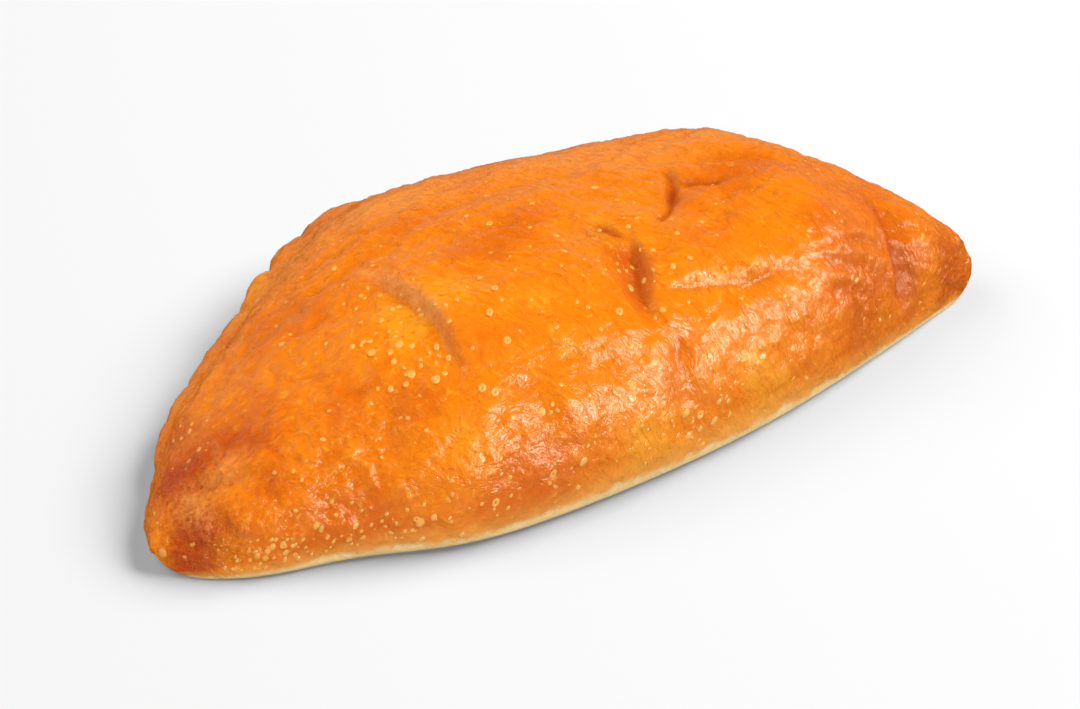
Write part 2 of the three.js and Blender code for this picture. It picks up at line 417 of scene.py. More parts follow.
def foldedRise(x, y):
    # How far the folds and lobes lift the surface, and how dark the painted shade along their creases is
    rise = np.zeros(x.shape)
    creaseShade = np.zeros(x.shape)
    for path, left, right, lift, mark in folds:
        spots = np.array(path, float)
        margin = feltWithin * max(left, right)
        low, high = spots.min(0) - margin, spots.max(0) + margin
        near = (x > low[0]) & (x < high[0]) & (y > low[1]) & (y < high[1])
        distance, leftOf, share = nearPath(path, x[near], y[near])
        ends = easeIn(np.minimum(share, 1 - share) / foldFade)
        rise[near] += lift * ends * hill(distance, np.where(leftOf, left, right))
        creaseShade[near] += mark * ends * hill(distance, markWidth)
    for atX, atY, spread, height in lobes:
        rise += height * hill(np.hypot(x - atX, y - atY), spread)
    return rise, np.minimum(1, creaseShade)


def seamRise(along, turn, x):
    # The lip of the seam with its crimps, and the groove above it
    angle = np.degrees(turn)
    fade = easeIn(np.minimum(along, 1 - along) / seam["fade"])
    stronger = (seam["crimpGain"] - 1) * hill(along - seam["crimpAt"], seam["crimpSpread"])
    wandered = x + seam["wander"] * np.sin(2 * np.pi * x / seam["stray"])
    lobed = np.abs(np.sin(np.pi * wandered / seam["crimpPitch"])) ** seam["notchSharpness"]
    wave = 2 * seam["crimpRise"] * (lobed - seam["crimpMean"]) * (seam["plainCrimp"] + stronger)
    lip = (seam["lipRise"] * (1 + stronger) + wave) * hill(angle - seam["lipAngle"], seam["lipSpread"])
    groove = seam["grooveRise"] * (1 + stronger) * hill(angle - seam["grooveAngle"], seam["grooveSpread"])
    return fade * (lip + groove)


def turnsAround():
    # Turns spaced evenly over the crust of one section, and wider on the flat underside. They run from
    # under the middle, over the top and back.
    turns = np.linspace(-np.pi / 2, 1.5 * np.pi, dough["spacingSteps"])
    y, z = section(np.full(turns.shape, dough["spacedAt"]), turns)
    steps = np.hypot(np.diff(y), np.diff(z))
    flat = (z[1:] + z[:-1]) / 2 < 2 * dough["cutDepth"]
    weights = np.where(flat, dough["undersideShare"], 1.0)
    way = np.concatenate([[0], np.cumsum(steps * weights)])
    wanted = np.linspace(0, way[-1], dough["columns"], endpoint=False)
    return np.interp(wanted, way, turns)


def doughGrid():
    # The dough in rows from the broad tip to the snub tip
    theta = np.linspace(0, np.pi, dough["rows"] + 1)[1:-1]
    crowding = dough["tipCrowding"]
    alongs = crowding * (1 - np.cos(theta)) / 2 + (1 - crowding) * theta / np.pi
    along, turn = np.meshgrid(alongs, turnsAround(), indexing="ij")
    x = dough["length"] * (along - 0.5)
    y, z = section(along, turn)
    outY, outZ = outward(along, turn)
    onTop = easeIn(np.sin(turn) / dough["topFade"])
    folded, creaseShade = foldedRise(x, y)
    rise = onTop * folded + seamRise(along, turn, x)
    steps = np.hypot(np.diff(y, axis=1, prepend=y[:, -1:]), np.diff(z, axis=1, prepend=z[:, -1:]))
    around = np.cumsum(steps, axis=1)
    z = np.maximum(0, z + rise * outZ - dough["cutDepth"])
    y = y + rise * outY
    return {"x": x, "y": y, "z": z, "around": around, "rise": rise, "creaseShade": onTop * creaseShade}


# Each stain: plan position, spreads along X and Y, strength
stains = {
    "browning": [(-89, 9, 7, 7, 0.8), (-78, 8, 8, 6, 0.5), (-91, -7, 6, 4, 0.7), (-95, -3, 4, 6, 0.6),
                 (-74, 1, 7, 5, 0.45), (-77, -8, 5, 4, 0.5), (-84, 22, 7, 7, 0.45), (-53, -1.4, 3, 2, 0.4),
                 (97, -4, 7, 12, 0.5), (89, -3, 5, 4, 0.4), (74, -6, 3, 4, 0.3), (-47, 1, 4, 3, 0.3),
                 (-44, -9, 5, 4, 0.3), (14, -19, 3, 3, 0.3), (12, 15, 3, 4, 0.35), (-12, 16, 3, 3, 0.35)],
    # rough: crinkled patches with more relief, which also get a painted salmon sheen
    "rough": [(-84, 4, 8, 5, 1), (-91, -3, 5, 5, 1), (-88, -10, 4, 3, 1), (12, 14, 4, 6, 0.8),
              (20, 13, 4, 4, 0.6), (-33, 16, 2.4, 18, 0.5), (32, -8, 6, 2.5, 0.7), (-64, -9, 14, 12, 0.55),
              (-22, -25, 9, 6, 0.5), (63, -12, 6, 6, 0.7), (42, -18, 10, 5, 0.3), (84, -7, 6, 5, 0.3),
              (-50, 50, 20, 10, 0.5), (20, 50, 40, 12, 0.4)],
    # trough: painted shade in the valley, the pinched fold and the tip fold, which also turn a little more
    # matte
    "trough": [(12, 4, 3.4, 6, 1), (8.5, -6, 2.6, 5, 0.7), (32, 18, 2.5, 5, 0.6), (76, -6, 2.6, 4, 0.9)],
    # pale: a lighter tone, partly real and partly a painted highlight along the front shoulder and the back
    # rim
    "pale": [(-40, 7, 9, 11, 0.8), (-7, -2, 9, 6, 0.6), (15, 13, 11, 8, 0.5), (-12, -13, 11, 5, 0.7),
             (20, -12, 9, 5, 0.4), (31, -8.5, 7, 3, 0.6), (48, 34, 9, 6, 0.6), (-38, -20, 10, 4, 0.5),
             (-27, 9, 6, 6, 0.4), (-46, 58, 12, 8, 0.6), (-17, 54, 14, 8, 0.6), (-3, -27.5, 11, 2.5, 0.8),
             (30, -22.5, 12, 3, 0.8), (22, 49, 14, 8, 0.6), (8, 38, 12, 6, 0.3)],
    # painted highlight and painted reflection: a salmon tint where the gloss would catch the lamps
    "veil": [(-35, 29, 1.5, 3.5, 1), (-33.4, 22, 1.4, 4, 1), (-32.3, 14.5, 1.4, 4.5, 1),
             (-31.6, 7, 1.3, 4, 0.8), (-91, 1, 3, 4, 0.7), (-83.4, 0.7, 3.5, 3, 0.7),
             (-90, -4, 2.5, 3, 0.6), (8, 15, 3, 3, 0.5), (50, 40, 22, 8, 0.6),
             (-17, 55, 18, 8, 0.6), (22, 52, 16, 8, 0.8)],
    # deep: a darker tone, partly real and partly painted shade on the lower front flank
    "deep": [(-8, 22, 9, 6, 0.9), (-22, -6, 8, 4, 0.6), (-19, 19, 7, 6, 0.4), (-53, 26, 10, 8, 0.5),
             (-70, 13, 10, 8, 0.6), (54, 22, 12, 11, 0.8), (58, -5, 9, 7, 1), (72, 5, 8, 9, 0.7),
             (3, 26, 9, 5, 0.5), (-45, -10, 8, 6, 0.6), (-60, -2, 9, 7, 0.6), (-72, -13, 8, 5, 0.8),
             (-22, 41, 12, 5, 0.5), (11, 44, 10, 5, 0.3), (-32, -27.5, 15, 3, 1.1), (-60, -19, 9, 4, 1),
             (60, -15, 10, 5, 0.8), (28, 2, 7, 4, 0.5), (76, -5, 5, 6, 1), (-62, 40, 12, 10, 0.3)],
}

# Where small blisters gather: place, spread along each axis, strength
gatherings = [
    (-68, -16, 6, 16, 8, 4, 0.5), (-84, -11, 6, 8, 8, 3.4, 0.5), (-45, -25, 7, 14, 6, 4, 0.4),
    (10, -26, 16, 16, 8, 8, 0.16), (-20, -26, 18, 12, 8, 8, 0.12), (-44, 4, 34, 14, 16, 10, 0.1),
    (15, 2, 35, 16, 14, 8, 0.06), (0, 0, 30, 90, 60, 40, 0.04), (0, 60, 10, 80, 30, 10, 0.06),
    (-84, 16, 14, 8, 10, 6, 0.12),
]

paleBand = {
    "at": (-100, -80, -55, -30, 0, 40, 80, 100),  # along the length
    "height": (0.3, 1.7, 2.6, 3.0, 3.5, 3.3, 1.8, 0.6),  # how far up the cream colour reaches
}

lowestBlister = 1.6  # height


def stained(x, y, spots):
    total = np.zeros(x.shape)
    for atX, atY, spreadX, spreadY, strength in spots:
        total += strength * np.exp(-(((x - atX) / spreadX) ** 2) - ((y - atY) / spreadY) ** 2)
    return np.clip(total, 0, 1)


def gathered(x, y, z):
    total = np.zeros(x.shape)
    for atX, atY, atZ, spreadX, spreadY, spreadZ, strength in gatherings:
        shape = ((x - atX) / spreadX) ** 2 + ((y - atY) / spreadY) ** 2 + ((z - atZ) / spreadZ) ** 2
        total += strength * np.exp(-shape)
    return np.clip(total, 0, 1) * (z > lowestBlister)


def writeAttribute(mesh, name, values):
    kind = "FLOAT" if values.ndim == 1 else "FLOAT_VECTOR"
    made = mesh.attributes.new(name, kind, "POINT")
    made.data.foreach_set("value" if kind == "FLOAT" else "vector", values.astype(np.float32).ravel())


def middleOfBase(low, high):
    return np.array([(low[0] + high[0]) / 2, (low[1] + high[1]) / 2, low[2]])


def buildDough():
    # The smooth dough with its colour layers, and its shift into the CAD box
    grid = doughGrid()
    rows, columns = grid["x"].shape
    poles = [(-dough["length"] / 2, 0, dough["tipLift"]), (dough["length"] / 2, 0, dough["tipLift"])]
    body = np.stack([grid["x"], grid["y"], grid["z"]], -1).reshape(-1, 3)
    places = np.vstack([body, poles])
    index = np.arange(rows * columns).reshape(rows, columns)
    onwards = np.roll(index, -1, axis=1)
    quads = np.stack([index[:-1], onwards[:-1], onwards[1:], index[1:]], -1).reshape(-1, 4)
    broadPole, snubPole = rows * columns, rows * columns + 1
    faces = quads.tolist()
    faces += [(broadPole, b, a) for a, b in zip(index[0].tolist(), onwards[0].tolist())]
    faces += [(snubPole, a, b) for a, b in zip(index[-1].tolist(), onwards[-1].tolist())]
    shift = middleOfBase(*cadBox) / mm - middleOfBase(places.min(0), places.max(0))
    mesh = bpy.data.meshes.new("dough")
    mesh.from_pydata(((places + shift) * mm).tolist(), [], faces)
    mesh.update()
    mesh.shade_smooth()

    def withPoles(values):
        return np.append(values.reshape(-1), [0, 0])

    x, y, z = places[:, 0], places[:, 1], places[:, 2]
    layers = {name: stained(x, y, spots) for name, spots in stains.items()}
    layers["blistering"] = gathered(x, y, z)
    layers["upper"] = easeIn((z - dough["skinFoot"]) / dough["skinRun"])
    layers["band"] = z / np.interp(x, paleBand["at"], paleBand["height"])
    # painted shade along the creases
    layers["crease"] = withPoles(grid["creaseShade"])
    # painted shade, deeper where the folds sink the surface
    layers["hollow"] = withPoles(np.clip(-grid["rise"] / dough["fullHollow"], -1, 1))
    layers["grain"] = np.stack([x, withPoles(grid["around"]), np.zeros(len(x))], -1)
    layers["swelling"] = np.zeros(len(x))
    for name, values in layers.items():
        writeAttribute(mesh, name, values)
    return mesh, shift


crustLook = {
    "golden": colour(246, 132, 4),
    "honey": colour(251, 158, 22),
    "straw": colour(252, 172, 52),
    "amber": colour(228, 108, 2),
    "brick": colour(192, 68, 2),
    # the colour of the painted shade in troughs and hollows
    "hollowShadeColour": colour(210, 88, 2),
    "butter": colour(250, 176, 74),
    "cream": colour(250, 216, 152),
    "toast": colour(214, 160, 96),
    # the colour of the painted highlight and painted sheen
    "paintedSheen": colour(246, 150, 70),
    "bubble": colour(255, 186, 88),
    "speck": colour(150, 62, 16),
    "roughness": 0.29,
    "shine": 0.6,
    # widths of the patterns, mm
    "sizes": {"patches": 15, "mottle": 4.6, "fine": 1.1, "pores": 0.45, "specks": 9, "dots": 1.7},
    # how far each layer can cover the ones below it
    "cover": {"trough": 0.8, "hollow": 0.4, "lines": 0.5, "roughLines": 0.35, "fine": 0.55, "straw": 0.6,
              "streaks": 0.35, "veil": 0.8, "paintedSheen": 0.22, "butter": 0.7, "toast": 0.7, "speck": 0.75,
              "dots": 0.35, "blisterRim": 0.35, "blister": 0.78, "brownedBlister": 0.3},
    # heights of the relief that is finer than the mesh, mm
    "relief": {"lines": 0.28, "roughLines": 0.2, "thinLines": 0.12, "roughThinLines": 0.08, "pores": 0.07,
               "mottle": 0.3, "fine": 0.2, "roughFine": 0.2, "dots": 0.06, "crease": 0.25},
    # what is added to the roughness
    "matte": {"mottle": 0.2, "band": 0.35, "trough": 0.1},
}

strokes = {
    "slant": 0.45,  # how far the strokes lean as they run over the crust
    "drift": 0.04,
    "stretch": 0.13,
    "wide": 1.7, "narrow": 0.95, "thin": 0.5,
    "bigWarp": 26, "bigSwing": 9,  # mm
    "smallWarp": 4.5, "smallSwing": 2.4,
    "tipFade": (78, 93),  # they would bunch up at the tips, so they fade this far out
}


def strokePattern(draw, grain, place, size):
    # Fine drawn-out lines, as brush and stretched dough leave them
    apart = draw.node("ShaderNodeSeparateXYZ", {}, {"Vector": grain})
    swing = (draw.cloud(place, strokes["bigWarp"], 1) - 0.5) * strokes["bigSwing"] * 2
    quiver = (draw.cloud(place, strokes["smallWarp"], 2) - 0.5) * strokes["smallSwing"] * 2
    across = apart - apart.of(1) * strokes["slant"] + swing + quiver
    along = apart.of(1) * strokes["stretch"] + apart * strokes["drift"]
    course = draw.node("ShaderNodeCombineXYZ", {}, {"X": across, "Y": along})
    return draw.cloud(course, size, 2, 0.55)


def crustMaterial():
    look = crustLook
    sizes, cover, relief, matte = look["sizes"], look["cover"], look["relief"], look["matte"]
    material, draw = newMaterial("crust")

    def attribute(name, out="Fac"):
        return draw.node("ShaderNodeAttribute", {"attribute_name": name}, {}, out)

    place = draw.inMillimetres(draw.node("ShaderNodeTexCoord", out="Object"))
    grain = attribute("grain", "Vector")
    browning, rough, trough, pale, veil, deep = map(attribute, stains)
    crease, band, hollow, swelling = map(attribute, ("crease", "band", "hollow", "swelling"))

    # patterns
    patches = draw.cloud(place, sizes["patches"], 2, 0.5, 0.8)
    mottle = draw.cloud(place, sizes["mottle"], 4, 0.6, 1.0)
    fine = draw.cloud(place, sizes["fine"], 3, 0.6)
    pores = draw.cloud(place, sizes["pores"], 2, 0.5)
    lines = strokePattern(draw, grain, place, strokes["narrow"])
    thinLines = strokePattern(draw, grain, place, strokes["thin"])
    tips = draw.node("ShaderNodeSeparateXYZ", {}, {"Vector": place}).off().rising(*strokes["tipFade"])
    lines = lines + (fine - lines) * tips
    thinLines = thinLines + (pores - thinLines) * tips

    # golden skin, with painted shade in the hollows, the troughs and the valleys of the strokes
    # tone: random patches and stains, partly painted shade and painted highlight
    tone = pale - deep + (patches - 0.5) * 2.0 + (mottle - 0.5) * 1.6
    skin = draw.mix(tone.rising(-1.0, 0.15), look["amber"], look["golden"])
    skin = draw.mix(tone.rising(0.15, 1.1), skin, look["honey"])
    # painted shade in the troughs and in the dents of the folds
    paintedHollowShade = trough * cover["trough"] + hollow.most(0) * cover["hollow"]
    skin = draw.mix(paintedHollowShade.least(1), skin, look["hollowShadeColour"])
    # painted shade: amber in the valleys of the strokes and the fine grain
    paintedStrokeShade = (0.5 - lines).rising(0.0, 0.2) * (cover["lines"] + rough * cover["roughLines"])
    paintedStrokeShade = paintedStrokeShade + (0.46 - fine).rising(0.0, 0.16) * cover["fine"]
    skin = draw.mix(paintedStrokeShade.least(1), skin, look["amber"])
    bright = (lines + thinLines + fine - 1.6).rising(0.0, 0.35)
    skin = draw.mix(bright * cover["straw"], skin, look["straw"])

    # browning, and painted shade along the creases
    baked = browning * (0.1 + patches * 0.8 + mottle * 1.0)
    # the stroke valleys of the browned places darken further, also painted shade
    baked = baked + (0.5 - lines) * browning.rising(0.1, 0.5) * cover["streaks"]
    skin = draw.mix(baked.rising(0.02, 0.95), skin, look["brick"])
    # painted shade: a dark brick line along each marked crease
    skin = draw.mix(crease * (0.4 + mottle), skin, look["brick"])

    # painted highlight in salmon on the flap, the broad tip and the back rim, and painted sheen on the
    # rough places
    paintedHighlightShare = veil * (0.2 + (lines + fine - 0.7).rising(0, 0.5))
    skin = draw.mix(paintedHighlightShare * cover["veil"], skin, look["paintedSheen"])
    # painted sheen: salmon on the rough patches, as if their crinkles caught the light
    paintedSheenShare = rough * (mottle + lines - 0.5).rising(0.4, 0.8)
    skin = draw.mix(paintedSheenShare * cover["paintedSheen"], skin, look["paintedSheen"])

    # the pale band by the table and the toasted underside
    edge = band + (mottle - 0.5) * 1.0 + (fine - 0.5) * 0.4
    skin = draw.mix((1 - edge.rising(1.0, 3.4)) * cover["butter"], skin, look["butter"])
    skin = draw.mix(1 - edge.rising(0.75, 1.5), skin, look["cream"])
    under = (1 - band.rising(0.0, 0.2)) * patches.rising(0.45, 0.7)
    skin = draw.mix(under * cover["toast"], skin, look["toast"])

    # dark specks, pale dots and blisters
    speck = (1 - draw.cells(place, sizes["specks"]).rising(0.012, 0.028)) * band.rising(1.5, 3)
    skin = draw.mix(speck * cover["speck"], skin, look["speck"])
    dots = 1 - draw.cells(place, sizes["dots"]).rising(0.08, 0.19)
    dots = dots * mottle.rising(0.46, 0.62) * band.rising(0.6, 1.6)
    skin = draw.mix(dots * cover["dots"], skin, look["bubble"])
    rim = swelling.rising(0.02, 0.15) * (1 - swelling.rising(0.2, 0.5))
    skin = draw.mix(rim * cover["blisterRim"], skin, look["amber"])
    raised = swelling.rising(0.2, 0.6) * (cover["blister"] - browning * cover["brownedBlister"])
    skin = draw.mix(raised, skin, look["bubble"])

    # relief finer than the mesh
    height = lines * (relief["lines"] + rough * relief["roughLines"])
    height = height + thinLines * (relief["thinLines"] + rough * relief["roughThinLines"])
    height = height + pores * relief["pores"] + mottle * relief["mottle"]
    height = height + fine * (relief["fine"] + rough * relief["roughFine"])
    height = height + dots * relief["dots"] - crease * relief["crease"]
    bump = draw.node("ShaderNodeBump", {}, {"Distance": mm, "Height": height})

    gloss = look["roughness"] + (mottle - 0.5) * matte["mottle"]
    gloss = gloss + (1 - band.rising(0.8, 2.0)) * matte["band"] + trough * matte["trough"]
    inputs = {"Base Color": skin, "Roughness": gloss, "Normal": bump, "Specular IOR Level": look["shine"]}
    finishMaterial(draw, inputs)
    return material


# Skin: relief by Geometry Nodes over the smooth dough, in mm
skinSizes = {
    "Lump size": 11.0,
    "Lump rise": 2.4,
    "Dimple size": 4.6,
    "Dimple rise": 1.3,
    "Crease size": 8.0,
    "Crease depth": 0.22,
    "Crease sharpness": 16.0,
    "Crinkle size": 2.4,
    "Crinkle depth": 0.45,
    "Crinkle sharpness": 6.0,
    "Least crinkle": 0.15,  # where the crust isn't rough
    "Stroke rise": 0.4,
    "Rough gain": 1.2,  # what roughness adds to the creases
    "Rough stroke gain": 0.5,
}


def newTree(name, inputs):
    # An empty tree with named inputs, and the identifiers of their sockets
    tree = bpy.data.node_groups.new(name, "GeometryNodeTree")
    identifiers = {}
    kinds = {float: "NodeSocketFloat", int: "NodeSocketInt", bpy.types.Object: "NodeSocketObject",
             bpy.types.Material: "NodeSocketMaterial"}
    tree.interface.new_socket("Geometry", in_out="INPUT", socket_type="NodeSocketGeometry")
    for label, value in inputs.items():
        kind = next(socket for sort, socket in kinds.items() if isinstance(value, sort))
        socket = tree.interface.new_socket(label, in_out="INPUT", socket_type=kind)
        identifiers[label] = socket.identifier
    tree.interface.new_socket("Geometry", in_out="OUTPUT", socket_type="NodeSocketGeometry")
    return tree, identifiers


def grown(name, mesh, drawTree, inputs):
    # A mesh run through a tree, as a plain mesh in an object of its own
    tree, identifiers = newTree(name, inputs)
    draw = Sketch(tree)
    given = draw.node("NodeGroupInput")
    geometry = drawTree(draw, given)
    realized = draw.node("GeometryNodeRealizeInstances", {}, {"Geometry": geometry})
    values = {"Geometry": realized, "Material": given.of("Material")}
    draw.node("NodeGroupOutput", {}, {"Geometry": draw.node("GeometryNodeSetMaterial", {}, values)})

    source = addObject(name + "Source", mesh)
    modifier = source.modifiers.new("nodes", "NODES")
    modifier.node_group = tree
    for label, value in inputs.items():
        modifier[identifiers[label]] = value
    evaluated = source.evaluated_get(bpy.context.evaluated_depsgraph_get())
    made = bpy.data.meshes.new_from_object(evaluated)
    made.name = name
    bpy.data.objects.remove(source)
    return addObject(name, made)


def namedAttribute(draw, name, kind="FLOAT"):
    return draw.node("GeometryNodeInputNamedAttribute", {"data_type": kind}, {"Name": name})


def skinTree(draw, given):
    place = draw.inMillimetres(draw.node("GeometryNodeInputPosition"))
    grain = namedAttribute(draw, "grain", "FLOAT_VECTOR")
    upper, rough = namedAttribute(draw, "upper"), namedAttribute(draw, "rough")

    def noise(size, detail, distortion=0.0):
        values = {"Vector": place, "Scale": 1 / given.of(size), "Detail": detail, "Distortion": distortion}
        return draw.node("ShaderNodeTexNoise", {}, values) - 0.5

    def furrow(pattern, sharpness):
        # -1 along the lines where the pattern passes zero, 0 elsewhere
        return (pattern.off() * given.of(sharpness)).least(1) - 1

    lumps = noise("Lump size", 2.0) * given.of("Lump rise")
    dimples = noise("Dimple size", 2.0, 0.6) * given.of("Dimple rise")
    creases = furrow(noise("Crease size", 3.0, 1.2), "Crease sharpness") * given.of("Crease depth")
    creases = creases * (1 + rough * given.of("Rough gain"))
    crinkles = furrow(noise("Crinkle size", 2.0, 0.8), "Crinkle sharpness") * given.of("Crinkle depth")
    crinkles = crinkles * (given.of("Least crinkle") + rough)
    drawn = (strokePattern(draw, grain, place, strokes["wide"]) - 0.5) * given.of("Stroke rise")
    drawn = drawn * (1 + rough * given.of("Rough stroke gain"))
    rise = lumps + dimples + creases + crinkles + drawn
    normal = draw.node("GeometryNodeInputNormal")
    lift = rise * upper * mm
    push = draw.node("ShaderNodeVectorMath", {"operation": "SCALE"}, {0: normal, "Scale": lift})
    return draw.node("GeometryNodeSetPosition", {}, {"Geometry": given.of("Geometry"), "Offset": push})


doughMesh, doughShift = buildDough()
crustPaint = crustMaterial()
crust = grown("crust", doughMesh, skinTree, dict(skinSizes, Material=crustPaint))
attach(crust, "root")
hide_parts("calzone")
print("crust:", len(crust.data.polygons), "faces")

# Blisters: low domes and rings, placed where the photo shows them and scattered all over, in mm
blisterSizes = {
    "Seed": 11,
    "Spacing": 1.15,
    "Most per square mm": 0.75,
    "Smallest": 0.28,  # radius of a scattered one
    "Largest": 0.75,
    "Ring chance": 0.58,  # the random value reaches this high, and makes a ring above 0.5
    "Plumpness": 0.34,  # height over radius
    "Size low": 0.85,  # every radius is multiplied by a random value
    "Size high": 1.15,
    "Stretch low": 0.82,  # and so is its length over its width
    "Stretch high": 1.25,
}
# Each step of a profile: radius, height, swelling
domeProfile = [(1.0, -0.25, 0.0), (0.86, 0.36, 0.6), (0.5, 0.86, 0.8), (0.0, 1.0, 1.0)]
ringProfile = [(1.0, -0.25, 0.0), (0.82, 0.6, 0.8), (0.5, 0.62, 1.0), (0.2, 0.1, 0.35), (0.0, 0.05, 0.2)]
carriedNames = (*stains, "band", "hollow")  # what a blister takes over from the crust below it

# Radius, whether rings (1) or domes (0), and places on the bare dough
placedBlisters = [
    (1, 0, [
        (-41.5, 4, 32.5), (-47, 5.5, 31.5), (-43, -4, 31), (-39.5, -8, 30.5), (9, -2.5, 33), (9.5, -25, 15),
        (16.5, -24.5, 10.5), (10, -25.5, 9.5), (-2, -22, 24), (-16.5, -27.5, 14), (-51.5, -23, 9),
        (-98.5, -2, 5), (20.5, 31.5, 36), (-22.5, -21, 24.5),
    ]),
    (0.9, 1, [
        (-32.5, -14.5, 30), (-30.5, -16, 29), (-23, -0.5, 37), (-23.5, -27.5, 13.5), (-36.5, -27, 11),
        (2, -9.5, 33), (-18.5, 5.5, 37.5), (-23, -8, 34.5), (13, -25, 13.5),
    ]),
    (0.7, 0, [
        (-37, 21, 33), (-37.5, 14.5, 33.5), (-36, 14.5, 34), (-41, 13, 33), (-45.5, 9, 31.5),
        (-39.5, 2, 33), (-44, 3, 32), (-44.5, 0.5, 31.5), (-35.5, -5, 33.5), (-35.5, -1.5, 34),
        (-45, -5.5, 29.5), (-48, -4.5, 29), (-49, 10, 30.5), (-37.5, -24, 20), (-43.5, -25.5, 4.5),
        (-49, -24, 10), (-71, -16, 11), (-63.5, -18.5, 9.5), (13, -25.5, 10), (7, -26, 11), (17.5, 3, 35.5),
        (13, 3, 34), (12, -1.5, 34), (18.5, -4, 36), (-19, 11, 37.5), (39, -19.5, 18), (18.5, -20, 25),
        (-86.5, 11, 15.5), (-83.5, 11.5, 16.5), (-81, -14, 7), (-80, -14.5, 8), (-78, -15, 8),
        (-83, -13.5, 6), (-81.5, -14, 5.5), (-77.5, -15, 6), (-65, -18, 6.5), (18, -24, 14.5),
        (1, -16.5, 29.5), (-9.5, 34, 36), (59, -12, 25), (60, -12, 23.5),
    ]),
    (0.45, 0, [
        (-50, -3, 29), (-37.5, -1.5, 33), (-43.5, 25, 30.5), (-42.5, 21.5, 31.5), (-44, 16, 31.5),
        (-43.5, 10.5, 32.5), (-40, 8, 33), (-37.5, -5, 32.5), (-39.5, 23, 32), (-12.5, 18, 37.5),
        (-27, 6, 37.5), (-11.5, 9.5, 38), (-30.5, -7, 34.5), (24, 21, 36.5), (3, 6, 37.5), (6, 5, 37),
        (9.5, 4, 34.5), (10.5, 2, 33.5), (38.5, 11.5, 36.5), (40.5, 11.5, 36.5), (16.5, 5.5, 35.5),
        (12, -24.5, 15.5), (11, -25.5, 12.5), (3, -26.5, 13), (-15, -27, 17), (38, -20, 15.5),
        (16.5, -20.5, 24), (17, -22, 22), (7, -19.5, 26.5), (20, -24, 15), (21, -24, 9.5), (13, -25, 7),
        (-20, -21, 25.5), (-21, -22, 24.5), (-22.5, -23, 22.5), (-25, -23, 23), (-44.5, -23.5, 17),
        (-34.5, -26, 16.5), (-33, -27.5, 11.5), (-45, -24.5, 14.5), (-46, -25, 9.5), (-34, -25, 19.5),
        (-84.5, -13, 7), (-83, -13, 7), (-80, -14.5, 5.5), (-84.5, -13, 5), (-77, -15, 9),
        (-75.5, -15.5, 7.5), (-74, -16, 8.5), (-57.5, -20.5, 11), (-70.5, -15, 13.5), (-70, -16.5, 9.5),
        (-68, -17.5, 6.5), (-62.5, -19, 8), (-60.5, -19.5, 9), (-58.5, -20, 9.5), (-56, -21.5, 9),
        (-54.5, -22, 7), (-57, -21, 6.5), (-64.5, -18, 5), (-69.5, -17, 4), (-72.5, -16.5, 4),
        (-75, -16, 4), (-81.5, -14, 3), (-83.5, -13, 3), (-86, -12, 2.5), (-87.5, -11.5, 3),
        (-89, -10.5, 3.5), (-73.5, -16, 6), (-69, -17, 8), (-53, -22.5, 7), (-86.5, -12, 5),
        (-82.5, -13.5, 4), (-80, -14, 9.5), (-96, 6, 8.5), (-81, 19.5, 16.5), (-79, 17, 18.5),
        (-85, 21, 13), (-85.5, 24.5, 9.5), (-84, 19, 14.5), (67, -12, 11), (70.5, -11, 10),
        (61, -13.5, 14.5), (85.5, -1, 22.5), (83, -3, 22), (47.5, -11, 30.5), (60, -4, 34),
        (-37, 50.5, 27.5), (-35.5, 50, 28), (-34, 49, 29), (-32.5, 48.5, 29.5), (-50.5, 39.5, 25.5),
        (-55.5, 33, 24.5), (-40.5, 31, 30.5), (-40, -7.5, 30.5), (-40.5, -3.5, 31.5), (-44, -3.5, 31),
        (-38, 10, 33.5), (-41.5, 9, 33), (-47.5, 9, 31), (-19, 1.5, 37), (-13.5, -1, 37), (-2.5, 6, 38),
        (-5, -5, 36), (9.5, -12, 31), (-4, -12.5, 33), (3, -16.5, 29), (29.5, -13, 29.5), (34, -18, 23.5),
        (18, -11.5, 32.5), (-12, -22, 25.5), (-16.5, -25.5, 20.5), (-9.5, -26, 18.5), (-2, -26, 17),
        (1, -24.5, 20), (-67, -15.5, 15), (-63.5, -17, 14), (-71, -10.5, 18.5), (-72, -8.5, 20),
        (-50.5, -23, 13), (-53.5, -21.5, 12), (-45, -25, 3),
    ]),
]


def turnedBlister(name, profile):
    # A closed button, turned from a profile
    sides = 12
    points, swelling, faces = [], [], []
    for radius, height, swell in profile[:-1]:
        for side in range(sides):
            angle = 2 * math.pi * side / sides
            points.append((radius * math.cos(angle), radius * math.sin(angle), height))
            swelling.append(swell)
    points.append((0, 0, profile[-1][1]))
    swelling.append(profile[-1][2])
    rings = len(profile) - 1
    for side in range(sides):
        after = (side + 1) % sides
        for ring in range(rings - 1):
            low, high = ring * sides, (ring + 1) * sides
            faces.append((low + side, low + after, high + after, high + side))
        faces.append(((rings - 1) * sides + side, (rings - 1) * sides + after, rings * sides))
    faces.append(tuple(reversed(range(sides))))
    mesh = bpy.data.meshes.new(name)
    mesh.from_pydata(points, [], faces)
    mesh.shade_smooth()
    for edge in mesh.edges:
        edge.use_edge_sharp = all(corner < sides for corner in edge.vertices)
    writeAttribute(mesh, "swelling", np.array(swelling))
    return addObject(name, mesh)


def placedPoints():
    places, radii, rings = [], [], []
    for radius, isRing, spots in placedBlisters:
        places += [(Vector(spot) + Vector(doughShift)) * mm for spot in spots]
        radii += [radius] * len(spots)
        rings += [isRing] * len(spots)
    mesh = bpy.data.meshes.new("placed")
    mesh.from_pydata(places, [], [])
    writeAttribute(mesh, "blisterRadius", np.array(radii, float))
    writeAttribute(mesh, "ring", np.array(rings, float))
    return mesh


